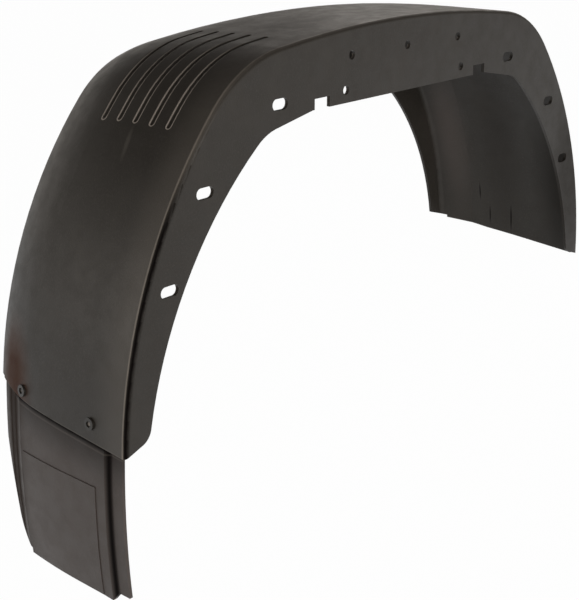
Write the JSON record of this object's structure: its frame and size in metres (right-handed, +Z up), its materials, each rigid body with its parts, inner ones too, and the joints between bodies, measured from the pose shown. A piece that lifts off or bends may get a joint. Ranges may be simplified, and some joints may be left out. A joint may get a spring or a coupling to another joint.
{
  "type": "trailer mudguard",
  "caption": "Arched plastic mudguard for a trailer wheel, with a slotted mounting flange, an outer skirt and a riveted mud flap.",
  "frame": {"origin": "centre hole of the mounting flange, on the flange's outer face", "axes": "+X from the rear leg with the flap to the front leg, +Y from the flange across the guard to the outer skirt, +Z up"},
  "size_m": [0.8942, 0.226, 0.559],
  "materials": {
    "shell_plastic": "satin, finely grained",
    "flap_plastic": "satin, finely grained",
    "rivet_plastic": "satin"
  },
  "bodies": {
    "root": {"guard_shell": "shell_plastic", "mud_flap": "flap_plastic", "flap_rivets": "rivet_plastic"}
  },
  "joints": []
}
